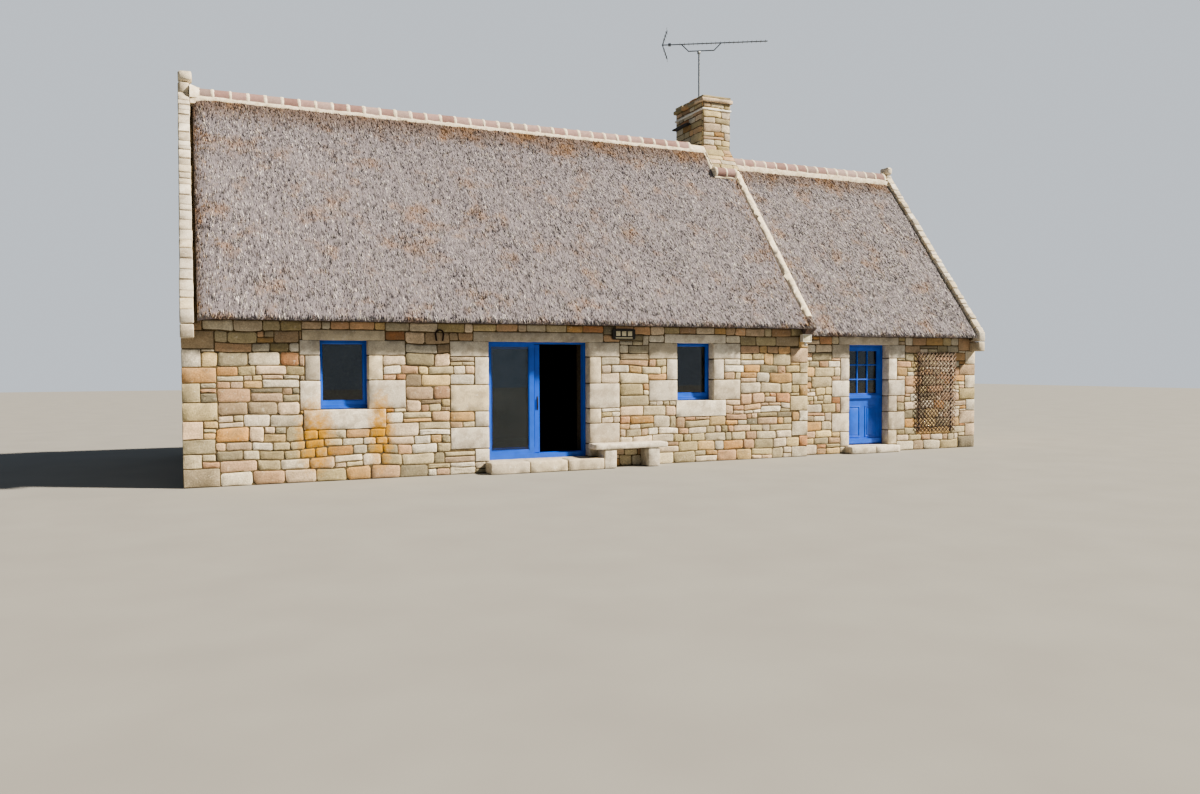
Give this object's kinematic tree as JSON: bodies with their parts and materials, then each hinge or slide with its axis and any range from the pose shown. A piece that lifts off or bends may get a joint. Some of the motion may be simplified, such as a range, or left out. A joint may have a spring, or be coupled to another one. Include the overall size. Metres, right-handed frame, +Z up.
{
  "type": "thatched cottage",
  "caption": "Low granite cottage with a steep thatched roof, tiled ridge, chimney and lower wing, a sliding patio door and a blue half-glazed door.",
  "frame": {"origin": "middle of the base, on the ground", "axes": "+X along the house from the left gable to the lower wing, +Y from the front face to the back, +Z up"},
  "size_m": [15.74, 6.54, 9.6667],
  "materials": {
    "rubble_granite": "rough rubble masonry",
    "dressed_granite": "pick dressed",
    "stone_floor": "worn matt",
    "reed_thatch": "weathered reed",
    "lime_mortar": "trowelled matt",
    "ridge_tile": "unglazed terracotta",
    "blue_paint": "satin gloss paint",
    "window_glass": "clear",
    "rusty_iron": "rusted",
    "dark_lamp": "satin",
    "white_plastic": "satin",
    "trellis_wood": "weathered softwood",
    "galvanised_steel": "dull galvanised"
  },
  "bodies": {
    "house": {"left_gable_wall": "rubble_granite", "right_gable_wall": "rubble_granite", "cross_gable_wall": "rubble_granite", "front_wall_left": "rubble_granite", "front_wall_middle": "rubble_granite", "patio_lintel": "dressed_granite", "low_front_wall_left": "rubble_granite", "low_front_wall_right": "rubble_granite", "door_lintel": "dressed_granite", "back_wall_main": "rubble_granite", "back_wall_low": "rubble_granite", "floor_main": "stone_floor", "floor_low": "stone_floor", "patio_step": "dressed_granite", "door_step": "dressed_granite", "window_1_sill": "dressed_granite", "window_2_sill": "dressed_granite", "stone_bench": "dressed_granite", "thatch_main_front": "reed_thatch", "thatch_main_back": "reed_thatch", "thatch_low_front": "reed_thatch", "thatch_low_back": "reed_thatch", "verge_front": "lime_mortar", "verge_back": "lime_mortar", "left_coping": "dressed_granite", "right_coping": "dressed_granite", "ridge_main": "ridge_tile", "ridge_low": "ridge_tile", "chimney_stack": "rubble_granite", "chimney_cap": "dressed_granite", "chimney_apron_tiles": "ridge_tile", "window_1_frame": "blue_paint", "window_1_glass": "window_glass", "window_2_frame": "blue_paint", "window_2_glass": "window_glass", "back_window_left_frame": "blue_paint", "back_window_left_glass": "window_glass", "back_window_right_frame": "blue_paint", "back_window_right_glass": "window_glass", "low_back_window_frame": "blue_paint", "low_back_window_glass": "window_glass", "patio_door_frame": "blue_paint", "patio_fixed_glass": "window_glass", "door_frame": "blue_paint", "horseshoe": "rusty_iron", "wall_lamp": "dark_lamp", "floodlight": "white_plastic", "wall_trellis": "trellis_wood", "aerial_mast": "galvanised_steel", "aerial": "galvanised_steel"},
    "sliding_leaf": {"patio_sliding_leaf": "blue_paint", "patio_sliding_glass": "window_glass"},
    "hinged_leaf": {"door_leaf": "blue_paint", "door_glass": "window_glass"}
  },
  "joints": [
    {"name": "patio_slide", "type": "slide", "parent": "house", "child": "sliding_leaf", "axis": [1, 0, 0], "range_m": [0, 0.79]},
    {"name": "door_hinge", "type": "hinge", "parent": "house", "child": "hinged_leaf", "pos_m": [5.4267, -2.4837, 0.15], "axis": [0, 0, -1], "range_deg": [0, 95]}
  ]
}
